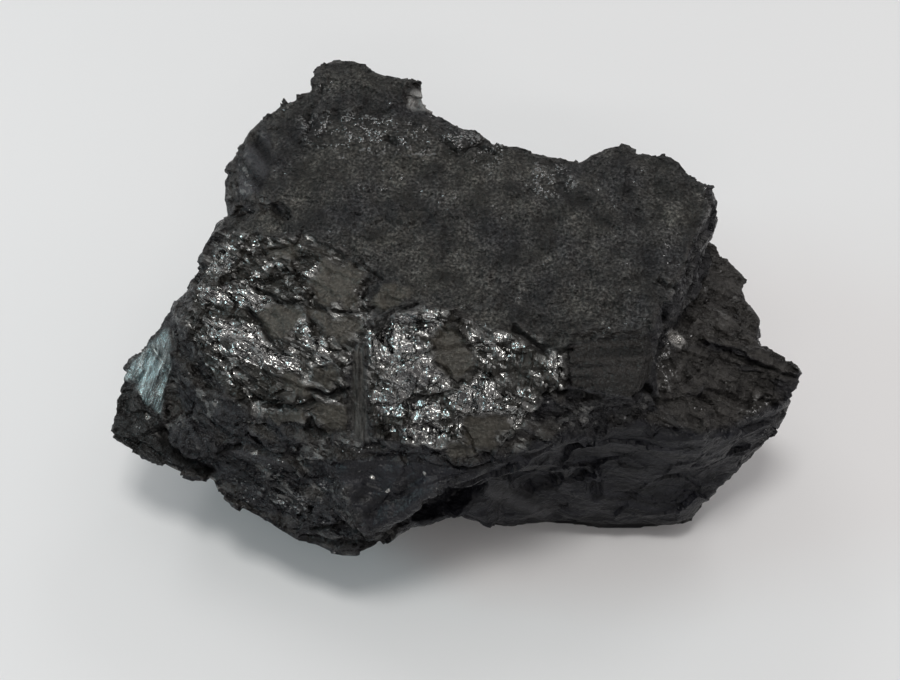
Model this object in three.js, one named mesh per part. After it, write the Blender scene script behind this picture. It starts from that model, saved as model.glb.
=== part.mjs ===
// A hand-sized lump of banded coal, broken on every side and resting on a flat underside.
// Millimetres, +Z up, +X along the longest side, front of the lump towards -Y.
import * as THREE from "three";

// ---- driving dimensions (mm) ----
const LENGTH = 99;              // along X, the longest side
const OUTLINE_LENGTH = 99;      // the length the outlines below are drawn at
const SCALE = LENGTH / OUTLINE_LENGTH;
const BASE_Z = 0;               // height of the flat underside
const WANDER_SHARE = 0.055;     // how far a broken edge wanders sideways, as a share of its length
const LARGEST_WANDER = 0.5;     // and never further than this
const WANDER_SEED = 7;
const SPLITS = 1;               // times every flat facet is split in four

// The lump is described by outlines that run round it, from the crown of the top face down to the
// underside. Each goes counter-clockwise seen from above and starts at the back left; the four
// stretches of each are the back left and left side, the front, the right side, and the back.

// the gently domed middle of the top face
const CROWN = [
  [-15, 34, 46.5], [-19, 29, 45], [-24, 24, 43.5], [-26.5, 18, 42.7],
  [-24, 13.5, 42.3], [-14, 11.5, 43.2], [-8, 6, 42.6], [-2, 1.5, 42.3], [6, -1.5, 42.2],
  [16, -4.5, 41.3], [24, -1.5, 41.6],
  [29, 6, 42.2], [32, 14, 43.2],
  [25, 19, 44], [16, 18.5, 43.3], [8, 19.5, 43.6], [1, 23, 44], [-7, 28, 44.8], [-8, 33, 46.3],
];

// the edge of the top face
const RIM = [
  [-17, 38.5, 46.5], [-19.5, 36, 46.3], [-20, 33, 45.5], [-24, 32, 44], [-27.5, 30, 42.5],
  [-30.5, 26, 40.5], [-32, 21.5, 39], [-31.5, 15.5, 38], [-32, 12, 39],
  [-26, 9.5, 41], [-16, 7.5, 42.5], [-10.5, 2.5, 42], [-6, -1.5, 41.5], [-2, -3, 41.5],
  [5, -5.5, 41], [10.5, -8, 40], [15.5, -9, 39.5], [26.5, -5.5, 40],
  [29, -1, 41], [32.5, 5, 41.5], [34.5, 11, 42], [36.5, 17.5, 43],
  [31.5, 21, 44], [26, 23.5, 44], [21.5, 23, 43.5], [17.5, 22, 42.5], [12, 23.5, 43],
  [7, 24, 43.5], [3, 27, 44], [-4, 31.5, 44.5], [-4, 34.5, 46.5],
];

// half way down the bright front slope, and the foot of the wall above the right terrace
const FIRST_STEP = [
  [-18, 38.5, 38], [-27, 31, 34], [-31.5, 21, 33], [-35, 10, 35.5], [-37.5, 7.5, 32],
  [-36, 4, 34], [-34, -1.5, 34], [-28.5, -4, 36.5], [-21.5, -6.5, 37.5], [-13.5, -8.5, 37.5],
  [-6.5, -11, 38], [0, -12.5, 37], [6.5, -12.5, 37], [12.5, -12, 37.5], [15.5, -13, 36],
  [24, -14, 37], [27.5, -8, 35],
  [28.5, -2.5, 31], [32, 2, 29.5], [35, 8, 29.3], [37, 13, 29], [35.5, 19, 29],
  [32, 22.5, 34], [22, 24, 34], [12, 25, 35], [3, 29, 36], [-4, 35, 38],
];

// the lower edge of the bright slope, the tip at the right, and the edge of the terrace
const SHOULDER = [
  [-18, 38, 27], [-27, 31, 26], [-33, 20, 25], [-37.5, 11.5, 25], [-41, 4.5, 28.5], [-43.5, 2.5, 25],
  [-40.5, -2, 25.5], [-39.5, -5.5, 23], [-33, -10.5, 25.5], [-25, -13.5, 27], [-16.5, -16, 28.5],
  [-11, -17.5, 28.5], [-6, -18.5, 28.5], [0, -19.5, 29], [5.5, -19.5, 28], [9.5, -18.5, 29],
  [15, -15.5, 31], [20, -12.5, 33], [26, -11, 31], [29, -11, 29], [34.5, -13.5, 25.5],
  [40, -11.5, 24], [47, -6.5, 22.5],
  [50, -2.5, 25], [49.5, -1.3, 26], [47.5, -0.5, 26.5], [44.5, 1.5, 26], [45, 7, 25.5],
  [43, 10, 26], [43, 13.5, 26.5], [40.5, 16.5, 27], [39.5, 19, 28],
  [33, 24, 26], [22, 27, 25], [10, 29, 26], [-2, 34, 27],
];

// the keel that overhangs the front hollow
const KEEL = [
  [-18, 37.5, 18], [-27, 30, 17], [-32.5, 19, 17], [-38, 9.5, 19], [-43.5, 3.5, 20],
  [-46.5, 1.5, 23], [-47.5, -0.5, 22], [-47.5, -3, 21],
  [-43, -8.5, 20.5], [-37, -11, 21], [-29.5, -15.5, 22], [-22, -18, 22.5], [-15.5, -19.5, 24],
  [-11, -24.5, 20], [-6, -23.5, 22], [0.5, -21, 26.5], [5, -19.5, 26.5], [9.5, -17.5, 25],
  [12.5, -16, 26], [19.5, -13.5, 27], [26.5, -13.5, 25], [35, -14, 22], [43, -9, 20],
  [49.3, -5, 20], [49, -2, 21], [45, 3, 20], [43, 10, 19], [40, 17, 18],
  [32, 24, 17], [22, 27, 17], [10, 29, 17], [-2, 33, 18],
];

// the back wall of the hollow
const HOLLOW = [
  [-17, 37, 12], [-26, 29, 12], [-31.5, 18, 13], [-38.5, 8, 14], [-44.5, 2, 16],
  [-48.5, -5.5, 19], [-45, -9.5, 18.5], [-40.5, -11.5, 18],
  [-33.5, -13.5, 18], [-26.5, -18, 17.5], [-19.5, -21.5, 17.5], [-14, -24.5, 17],
  [-10, -23.5, 17], [-5, -18.5, 17.5], [0, -17, 17.5], [4, -16.5, 20], [8, -16, 21],
  [12, -15.5, 20], [16, -14.5, 18], [24.5, -14, 17], [33, -14, 17], [40, -10.5, 16],
  [47, -7, 15.5], [46.5, -2, 16], [43, 4, 14], [41, 11, 13], [38, 17, 12],
  [31, 23, 11], [22, 26, 11], [10, 28, 11], [-2, 32, 12],
];

// the lip below the hollow and the lower edge of the overhang
const LIP = [
  [-16, 35, 7], [-24, 28, 8], [-30, 17, 10], [-38.5, 6.5, 9], [-44.5, 0, 11],
  [-49, -8.5, 17.5], [-46, -10.5, 17], [-41, -12.5, 16], [-37, -14.5, 16],
  [-34, -15, 16], [-33, -17, 15.5], [-30.5, -18.7, 14.7], [-26, -20.5, 14], [-22, -23, 13.5],
  [-17, -24.7, 13],
  [-13, -25.5, 13], [-9, -23.5, 14], [-5.5, -21, 13], [-1.5, -19, 12.5], [3, -17, 12],
  [8, -15, 14], [15, -14, 11], [24.5, -14, 11], [33, -13, 10.5], [39, -10.5, 11],
  [42.3, -9.8, 9.8], [44.8, -7.8, 12.5], [43, -1, 11], [40, 6, 9], [38, 13, 8],
  [34, 19, 7], [28, 23, 6], [18, 26, 6], [8, 27, 6], [-2, 29, 6],
];

// the undercut just above the ground
const UNDERCUT = [
  [-13, 30, 2.5], [-20, 23, 3], [-25, 14, 4], [-33, 4.5, 4.5], [-40, -1, 8],
  [-36, -7, 11], [-26, -13, 10.5], [-18, -17, 9.5], [-11, -18, 9], [-5, -15, 8], [0, -12.5, 6],
  [4, -14, 4], [8, -14.5, 4], [14, -14, 4], [22, -14.5, 4], [29, -14.5, 4], [36.5, -14, 3.5],
  [39.3, -11.4, 6], [40, -5, 6], [38, 3, 4], [35, 11, 3],
  [30, 18, 2.5], [22, 22, 2.5], [12, 25, 2.5], [0, 26, 2.5],
];

// the flat underside
const BASE = [
  [-10, 26], [-16, 20], [-20, 13], [-21, 5],
  [-16, -3.5], [-8, -8], [-1, -9.5], [3, -12.5], [6, -13.5], [10.5, -14], [14.5, -13.5],
  [19.5, -14], [22.5, -14.5], [28.5, -14.5], [33, -14],
  [34.5, -8], [33.5, 0], [31, 9],
  [25, 17], [16, 21], [4, 23],
].map(([x, y]) => [x, y, BASE_Z]);

const OUTLINES = [CROWN, RIM, FIRST_STEP, SHOULDER, KEEL, HOLLOW, LIP, UNDERCUT, BASE];

// ---- building the closed surface ----
const corners = [];
let facets = [];

function addCorner(point) {
  corners.push(point);
  return corners.length - 1;
}

function addOutline(outline) {
  return outline.map(([x, y, z]) => addCorner(new THREE.Vector3(x, y, z).multiplyScalar(SCALE)));
}

// joins two neighbouring outlines with a band of triangles, always taking the shorter diagonal
function joinOutlines(upper, lower) {
  let i = 0;
  let j = 0;
  while (i < upper.length || j < lower.length) {
    const upperHere = upper[i % upper.length];
    const lowerHere = lower[j % lower.length];
    const upperNext = upper[(i + 1) % upper.length];
    const lowerNext = lower[(j + 1) % lower.length];
    const alongUpper = corners[upperNext].distanceTo(corners[lowerHere]);
    const alongLower = corners[lowerNext].distanceTo(corners[upperHere]);
    const takeLower = j < lower.length && (i >= upper.length || alongLower <= alongUpper);
    if (takeLower) {
      facets.push([lowerHere, lowerNext, upperHere]);
      j += 1;
    } else {
      facets.push([upperNext, upperHere, lowerHere]);
      i += 1;
    }
  }
}

// closes an outline with a sheet of triangles that faces up or down
function closeOutline(outline, facingUp) {
  const flat = outline.map((index) => new THREE.Vector2(corners[index].x, corners[index].y));
  for (const [a, b, c] of THREE.ShapeUtils.triangulateShape(flat, [])) {
    const [p, q, r] = [flat[a], flat[b], flat[c]];
    const turnsLeft = (q.x - p.x) * (r.y - p.y) - (q.y - p.y) * (r.x - p.x) > 0;
    const triangle = turnsLeft === facingUp ? [a, b, c] : [a, c, b];
    facets.push(triangle.map((k) => outline[k]));
  }
}

// a repeatable stream of numbers between -1 and 1
function makeWander(seed) {
  let state = seed;
  return () => {
    state = (Math.imul(state, 1664525) + 1013904223) >>> 0;
    return state / 2147483648 - 1;
  };
}

// splits every facet in four and lets the new corners wander, so broken edges are never straight
function splitFacets(wander) {
  const middles = new Map();
  const middleOf = (a, b) => {
    const key = a < b ? `${a} ${b}` : `${b} ${a}`;
    if (!middles.has(key)) {
      const point = corners[a].clone().add(corners[b]).multiplyScalar(0.5);
      const edgeLength = corners[a].distanceTo(corners[b]);
      const reach = Math.min(edgeLength * WANDER_SHARE, LARGEST_WANDER);
      const shift = new THREE.Vector3(wander(), wander(), wander()).multiplyScalar(reach);
      const onBase = corners[a].z <= BASE_Z && corners[b].z <= BASE_Z;
      if (onBase) {
        shift.set(0, 0, 0);
      }
      middles.set(key, addCorner(point.add(shift)));
    }
    return middles.get(key);
  };
  const finer = [];
  for (const [a, b, c] of facets) {
    const ab = middleOf(a, b);
    const bc = middleOf(b, c);
    const ca = middleOf(c, a);
    finer.push([a, ab, ca], [ab, b, bc], [ca, bc, c], [ab, bc, ca]);
  }
  facets = finer;
}

const rings = OUTLINES.map(addOutline);
closeOutline(rings[0], true);
for (let k = 0; k + 1 < rings.length; k += 1) {
  joinOutlines(rings[k], rings[k + 1]);
}
closeOutline(rings[rings.length - 1], false);

const wander = makeWander(WANDER_SEED);
for (let k = 0; k < SPLITS; k += 1) {
  splitFacets(wander);
}

// ---- the mesh, with the middle of its underside at the origin ----
const geometry = new THREE.BufferGeometry();
const positions = corners.flatMap((point) => point.toArray());
geometry.setAttribute("position", new THREE.Float32BufferAttribute(positions, 3));
geometry.setIndex(facets.flat());
geometry.computeBoundingBox();
const middle = geometry.boundingBox.getCenter(new THREE.Vector3());
geometry.translate(-middle.x, -middle.y, -geometry.boundingBox.min.z);
geometry.computeVertexNormals();

const coal = new THREE.MeshStandardMaterial({ color: 0x1d1d1f, roughness: 0.55, metalness: 0.0 });
coal.name = "coal";
coal.flatShading = true;

const lump = new THREE.Mesh(geometry, coal);
lump.name = "coal_lump";

const group = new THREE.Group();
group.add(lump);
export default group;
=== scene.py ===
"""A hand-sized lump of banded coal on a pale table.

The lump is one piece. Its body is a copy of the plain solid, remeshed finely, then broken up with
facets, bedding ledges, smooth plates, creases, hollows, fibres and cracks. Sizes inside the carving
are in millimetres.
"""

import math

import bpy
import numpy as np
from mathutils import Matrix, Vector


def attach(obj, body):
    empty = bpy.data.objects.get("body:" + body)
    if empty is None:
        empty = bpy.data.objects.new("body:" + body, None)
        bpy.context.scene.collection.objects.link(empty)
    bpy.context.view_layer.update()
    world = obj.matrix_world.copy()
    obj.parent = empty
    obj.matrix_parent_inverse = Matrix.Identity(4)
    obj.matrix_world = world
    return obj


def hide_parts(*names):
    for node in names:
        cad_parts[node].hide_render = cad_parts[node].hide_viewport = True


MM = 0.001

# ---- the mesh ----
VOXEL = 0.27                  # mm, the grid the solid is remeshed on
TRIANGLE_LIMIT = 196000
SMOOTHING_ROUNDS = 4          # before carving, so that the voxel steps don't show
MARKING_ROUNDS = 12           # before the kinds of coal are marked on the carved body

# ---- the ways the coal is drawn out, in X, Y and Z ----
LEFT_STREAK = (0.87, -0.40, -0.28)
RIGHT_STREAK = (0.05, 0.82, 0.57)
SLAB_STREAK = (0.95, -0.22, -0.22)
BED_DIP = 0.12                # how much the bedding falls towards the front

# ---- heights above the table, in mm ----
TOP_FACE = (36, 39)           # where the dull top face begins
SHADED_DULL_FOOT = (3.0, 6.5)             # where the foot of the smooth front ends: rougher there, and painted darker as shade near the table

# how strongly each kind of coal is broken up
LIVELY = {
    "bright": 0.9, "hackly": 0.95, "top": 0.12, "smooth": 0.16, "prow": 0.10, "grey": 0.9,
    "striated": 0.15, "fibre": 0.2, "plain": 0.8, "plate": 0.12, "dull_plate": 0.10,
}

# the kinds of coal that are marked on the body for the material; painted_glint carries painted
# highlights, and foot carries painted shade
KINDS = (
    "bright", "bright_band", "fibre", "plate", "dull_plate", "striated", "grey", "prow", "smooth",
    "hackly", "top", "right_foil", "foil", "sparkly", "painted_glint", "lined", "level", "foot",
)

# ---- looks: the dark and the pale colour between which each kind's own pattern runs ----
SHADES = {
    "dull": ((0.003, 0.003, 0.0045), (0.036, 0.036, 0.040)),
    "broken": ((0.010, 0.0095, 0.009), (0.040, 0.038, 0.034)),
    "top_dark": ((0.006, 0.006, 0.007), (0.125, 0.125, 0.130)),
    "top_pale": ((0.018, 0.0175, 0.0155), (0.250, 0.240, 0.215)),
    "level": ((0.013, 0.012, 0.0115), (0.056, 0.053, 0.050)),
    "smooth": ((0.0008, 0.0010, 0.0022), (0.015, 0.0155, 0.0205)),
    "plate": ((0.018, 0.0165, 0.013), (0.056, 0.051, 0.042)),
    "fibre": ((0.010, 0.010, 0.0095), (0.085, 0.083, 0.078)),
    "dull_plate": ((0.004, 0.0038, 0.0036), (0.024, 0.022, 0.0205)),
    "striated": ((0.020, 0.028, 0.030), (0.42, 0.47, 0.47)),
    "lined": ((0.002, 0.002, 0.003), (0.042, 0.042, 0.046)),
    "foil": ((0.11, 0.11, 0.112), (0.44, 0.44, 0.43)),
}
PLATE_GRIT_COLOUR = (0.095, 0.088, 0.076, 1)
# painted shade: the foot of the smooth front, darker near the table
FOOT_SHADE_COLOUR = (0.0012, 0.0012, 0.0020, 1)
GREY_COLOUR = (0.022, 0.022, 0.022, 1)
# glossy flakes that catch the lamps; their pale colour also paints glints
PAINTED_SPARK_COLOUR = (0.34, 0.34, 0.34, 1)
# painted highlights: the glint spot, the lit facet and the small pale flakes
PAINTED_GLINT_COLOUR = (0.50, 0.49, 0.47, 1)
# painted shade inside the cracks
CRACK_SHADE_COLOUR = (0.004, 0.004, 0.004, 1)
COAL_IOR = 1.34

# ---- roughness: one number, or two where a pattern runs between them ----
DULL_ROUGH = (0.16, 0.36)
TOP_ROUGH = (0.62, 0.42)
SMOOTH_ROUGH, FOOT_ROUGH = 0.42, 0.75
PLATE_ROUGH = (0.50, 0.28)
STRIATED_ROUGH = 0.24
FOIL_ROUGH = (0.26, 0.12)
HACKLY_ROUGH = (0.28, 0.6)
SPARK_ROUGH = 0.25
CRACK_ROUGH = 0.8

# ---- the setting, in metres ----
TABLE_REACH = 3.0
TABLE_COLOURS = (0.74, 0.74, 0.75, 1), (0.78, 0.78, 0.79, 1)
TABLE_ROUGH = 0.45
LAMP_AIM = (0, 0, 0.03)
# soft lamps: (name, place, width, height, power in watts, colour)
LAMPS = [
    ("overhead_light", (-0.02, -0.04, 0.8), 0.22, 0.16, 2.2, (1.0, 0.985, 0.95)),
    ("window", (-1.0, 0.0, 0.60), 0.30, 0.22, 2.4, (0.62, 0.93, 1.0)),
    ("front_light", (0, -0.80, 0.75), 0.50, 0.05, 0.9, (1.0, 0.98, 0.95)),
    ("rear_left_light", (-0.5, 0.7, 0.8), 0.40, 0.20, 1.2, (1, 1, 1)),
    ("rear_right_light", (0.5, 0.7, 0.8), 0.40, 0.20, 1.2, (1, 1, 1)),
]
ROOM_COLOUR = (1.0, 0.96, 0.95, 1)
ROOM_DIM, ROOM_BRIGHT = 0.22, 0.48
CAMERA_ELEVATION = math.radians(55)
CAMERA_DISTANCE = 0.236
CAMERA_AIM = (-0.0005, -0.0024, 0.024)
CAMERA_LENS = 65              # mm, on a sensor 36 mm wide

# ---- the drawing plane ----
# Places on the front and top are drawn on a plane that leans back, so that both are seen on it
# unfolded: the first number runs along X, the second up the lean.
LEAN = math.radians(55)
PLANE_NORMAL = (0, -0.57, 0.82)

# the outlines of what shows on the front and top, in mm on the drawing plane
BRIGHT_LEFT = [
    (-32.5, 27), (-26.5, 26), (-18.5, 25), (-12.5, 22.5), (-11.5, 19), (-12, 11), (-14, 8.5),
    (-14.5, 3.5), (-18, -0.5), (-21, 1), (-28, 2), (-33, 5.5), (-35.5, 10.5), (-38, 14.5),
    (-35.5, 20), (-34, 23.5),
]
BRIGHT_RIGHT = [
    (-11.5, 11), (-11, 14), (-7, 16), (-2, 16), (6, 13), (12, 10.5), (15, 10), (15, 5.5),
    (12, 4.5), (10, 1), (5, -3.5), (-3, -2.5), (-11, -1.5), (-12, 3.5),
]
FIBRE_BAND = [(-13.4, 11.5), (-12, 11.5), (-11.6, 5), (-11.4, -2), (-13.8, -2), (-14.2, 3.5)]
STRIATED_END = [
    (-42, 13), (-40.5, 13.5), (-40, 10.5), (-41, 5.5), (-42, 1.5), (-44.5, 2.5), (-45.5, 5.5),
    (-48, 6.5), (-46.5, 8.5), (-44, 11),
]
# a facet turned to the right, painted lighter as a highlight where it catches the light
LIT_FACET = [(-6.8, 48.2), (-3.0, 47.5), (-3.0, 44.8), (-6.2, 45)]
LEFT_RIM = [(-31.3, 37.3), (-27.5, 43.4), (-25.4, 38.9), (-26.9, 32.9), (-31.0, 31.0)]
FIBROUS = [
    (-33.5, -4.6), (-29.5, -3.6), (-25, -4.8), (-21.5, -7), (-21.3, -9.8), (-26, -8.8), (-31, -8.2),
]
GREY_END = [
    (-48, 5.5), (-45, 4), (-42, 1), (-42, -2.5), (-41, -6.5), (-46.5, -4), (-49.5, -2), (-49, 1.5),
]
DULL_PLATE = [
    (15, 11), (19.5, 12), (26.5, 12.5), (27, 9), (26, 5.5), (23.5, 4), (19.5, 5), (15.5, 5.5),
]
PROW = [
    (-16.5, -5), (-12, -14.5), (-6.5, -13), (-1, -7.5), (4.5, -5.5), (-2, -5), (-10, -4.5),
]
SMOOTH_FRONT = [
    (13.5, -14), (20.5, -2), (25.5, 1), (34, -1.5), (48.5, 3), (48, 4.5), (41.5, -7.5), (35, -14.5),
    (28, -18), (20.5, -18), (14, -17),
]
HACKLY_BLOCK = [
    (28, 10.5), (33.5, 11), (43.5, 10.5), (49, 8), (48, 4.5), (40, 0), (34, -1.5), (28.5, 2.5),
    (26, 5),
]
SMOOTH_LEFT = [
    (-6.8, -14.1), (-1.9, -7.8), (3.5, -5.7), (7.6, -3.7), (12.3, -2.1), (14.3, -0.6), (20.3, -2),
    (21.6, -16.9), (7, -16.9), (1, -14.8),
]
STRIPED_FACET = [
    (4, -9.5), (6.6, -8.1), (10.3, -9.5), (13.4, -11.6), (15.2, -13.7), (13.6, -14.5), (9.8, -13.5),
    (6.3, -12.2),
]

# places where small flakes catch the light; their pale colour also paints glints
SPARKLY = [
    [(-22, 43.4), (-15.6, 44.5), (-7.7, 43.6), (2.4, 41.1), (7.3, 38.8), (5.8, 36.5), (-7.6, 38.7),
     (-20.4, 38.7)],
    [(10.8, 36.5), (15.1, 37.4), (17, 33.5), (13.4, 31.3), (10.7, 32.8)],
    [(-27.8, -9.1), (-26, -9.5), (-21.3, -10.4), (-19.7, -11.5), (-20.6, -12.5), (-25.8, -10.7)],
    [(-19, -7.8), (-17.8, -8), (-16.2, -10.4), (-16.5, -11.6), (-18.7, -9.8)],
    [(-19.8, -15.1), (-17.9, -14.6), (-17.6, -15.2), (-19.6, -15.7)],
    [(28, 13.5), (31.5, 13), (31, 10), (30.8, 6.2), (28.5, 4.2), (28.5, 8)],
    [(41.1, 3.3), (45, 3.3), (44.5, -0.3), (40.1, -0.5)],
]
# a painted highlight: a small pale spot where a facet glints
PAINTED_GLINT_SPOT = [(29.7, 13), (31.5, 13), (32.8, 11.7), (32, 10.8), (30.6, 11.5)]
# painted glints, small pale spots: (place, radius in mm)
PAINTED_GLINT_FLAKES = [
    ((-27.7, -3.9), 0.20), ((-11.1, -6.9), 0.25), ((-8.9, -8.7), 0.22), ((-11.2, -17.6), 0.25),
    ((-43.7, 0.8), 0.30), ((-42.1, -1.7), 0.25), ((-3.9, -6.2), 0.22),
]

# where the bright coal breaks into foil that faces the light
FOIL = [
    [(-34, 24.8), (-32.5, 25.8), (-30.3, 23.2), (-31.1, 21), (-34.1, 21.9)],
    [(-35.2, 19.1), (-31, 19.3), (-25.4, 17.5), (-25.9, 15.9), (-29.3, 16.5), (-34.6, 16.8)],
    [(-34.1, 14.3), (-29.9, 14.3), (-26.1, 12.9), (-24.3, 10.2), (-26.1, 8.8), (-30.3, 10.4)],
    [(-21.5, 14.2), (-20, 14.2), (-16.3, 9.4), (-17.7, 8), (-20.7, 11.8)],
    [(-26, 10.4), (-21.2, 9.6), (-20.7, 8), (-24.9, 8.3)],
    [(-27.1, 1.9), (-24.4, 2.5), (-19.8, 1.5), (-20.9, 0.4), (-26.3, 0.8)],
    [(-17, 3.2), (-13.7, 2.9), (-13.2, 0.5), (-16.2, 0.7)],
    [(-19.4, 21.9), (-17.2, 22.2), (-16.9, 20), (-19, 19.7)],
    [(-10.5, 19.7), (-8.3, 19.6), (-7.5, 17.7), (-10.2, 17.2)],
    [(-11.4, 14.2), (-9.4, 16.1), (-4.8, 16.4), (-1.8, 14.2), (-2.4, 12.6), (-6.1, 13.4),
     (-9.9, 12.3)],
    [(-11.4, 12.3), (-6.1, 12.9), (-3.7, 11), (-4.8, 8.9), (-10.9, 9.1)],
    [(-8, 8.9), (-4.5, 9.9), (-0.8, 7.5), (-0.5, 4.9), (-4.5, 4.9), (-8.2, 5.9)],
    [(-11, 4.3), (-6.6, 4.9), (-2.4, 3.8), (-2.6, 0), (-6.7, 1.1), (-10.5, 2.1)],
    [(0.3, 4.9), (2.2, 6.5), (5.1, 5.7), (5.8, 2.7), (4, 1.7), (1.1, 2.5)],
    [(-7.8, 0.8), (-1, 0.6), (-1, -2.4), (-7.2, -2.5)],
    [(12.3, 10.5), (15.4, 10.5), (15.7, 7), (12.8, 6.8)],
]

# smooth brownish plates that stand a little proud of the bright coal: (rise in mm, outline)
PLATES = [
    (0.35, [(-26, 16.5), (-22.5, 17), (-20.5, 15.5), (-21, 14), (-23, 12), (-25.5, 12),
            (-26.5, 14.5)]),
    (0.40, [(-20, 16), (-16.5, 15), (-13, 15), (-12.5, 13), (-13.5, 11.5), (-15.5, 11.5),
            (-17.5, 13)]),
    (0.30, [(-18, 22.5), (-14, 22.5), (-12.5, 20.5), (-12.5, 17), (-14.5, 16), (-18, 17),
            (-19.5, 19.5)]),
    (0.25, [(-9.5, 19.5), (-5.5, 18.5), (-6, 17), (-9.5, 16), (-11, 17)]),
    (0.35, [(-24, 7.5), (-20.5, 6.5), (-19, 5.5), (-19.5, 4), (-21.5, 4.5), (-23.5, 5.5)]),
    (0.25, [(-19.5, 8.5), (-16, 8), (-14.5, 6.5), (-16.5, 5.5), (-19, 6.5)]),
    (0.25, [(-3, 12), (-1, 13.5), (1.5, 12.5), (3, 10), (2.5, 7.5), (0, 7), (-2.5, 9)]),
    (0.25, [(1, 1.5), (6, 2), (7.5, 0.5), (5.5, -2.5), (2.5, -3), (1, -1)]),
    (0.20, [(-1.5, -1.5), (1, -1.5), (3, -3), (-0.5, -4)]),
    (0.20, [(-25.5, 24.5), (-21.5, 25), (-21, 23), (-24.5, 22.5)]),
    (0.30, [(-19, 3), (-14.5, 3), (-14, -0.5), (-16.5, -1), (-18.5, 0.5)]),
    (0.25, [(-26.5, 2), (-20.5, 2.5), (-19.5, 1), (-24.5, 0.5)]),
]

# fine parallel lines in the coal: (direction in degrees, spacing in mm, height in mm, outline)
GROOVES = [
    (-50, 0.7, 0.35, LEFT_RIM),
    (-18, 0.75, 0.40, FIBROUS),
    (-26, 1.3, 0.30, STRIPED_FACET),
    (34, 1.1, 0.22, PROW),
    (2, 0.7, 0.14, DULL_PLATE),
    (88, 0.6, 0.30, FIBRE_BAND),
    (72, 0.9, 0.32, STRIATED_END),
]

# raised creases: (height in mm, half width in mm, line)
RIDGES = [
    (1.0, 1.8, [(-12.1, -14.7), (-10.1, -13.4), (-7.3, -11.7), (-3.2, -8.6), (-0.9, -7.7),
                (3.7, -7.3)]),
    (1.3, 3.0, [(-15.8, -5.9), (-14.7, -8), (-13.9, -10.1), (-13.1, -12.2), (-12.2, -14.7)]),
    (0.7, 1.6, [(-7.3, -8.6), (-1.2, -6.4), (3.5, -4.6), (6.2, -3.7), (11.6, -2.3), (14, -1.3)]),
    (0.7, 1.3, [(6.3, -5.2), (9, -4.8), (12.7, -5.2), (16, -6.1)]),
    (0.5, 1.5, [(14, -1), (16.6, -1.5), (20.3, -2.2)]),
    (0.6, 1.5, [(14.2, -3.3), (17.9, -6.6), (20.9, -7.9)]),
    (0.4, 1.2, [(29, 1), (34, -1), (40, 0.5), (47, 4)]),
]

# hollows: (depth in mm, softness of the edge in mm, outline)
HOLLOWS = [
    (2.5, 0.8, [(-5.8, -13.4), (-3.9, -9.9), (-0.9, -7.9), (3.7, -8.2), (4.5, -9.2), (3.5, -11.1),
                (0.2, -12.5)]),
    (1.9, 1.2, [(7, -7.9), (9.3, -6.8), (15.1, -6.9), (15.5, -8.2), (14, -9.9), (11.1, -10.4),
                (8.8, -9.4)]),
    (1.2, 1.2, [(16.9, -8.2), (17.4, -6.6), (18.8, -6.5), (19.8, -7.8), (18.7, -8.5)]),
    (1.0, 1.2, [(19.8, -8.2), (21, -8.6), (21.7, -10.7), (20.7, -11.2)]),
    (0.6, 0.9, [(24.2, -10.3), (25.8, -9.9), (27.2, -10.6), (25.8, -11.3)]),
    (0.9, 0.5, [(-26, 30.3), (-24.5, 30.8), (-23, 29.6), (-23.8, 28.6), (-25.4, 28.9)]),
]

# curved ribs round a point, as in broken glass: (centre, inner and outer radius, spacing, height)
RIBS = [
    ((-37.0, -2.8), 0.8, 5.0, 1.2, 0.35),
]

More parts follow.
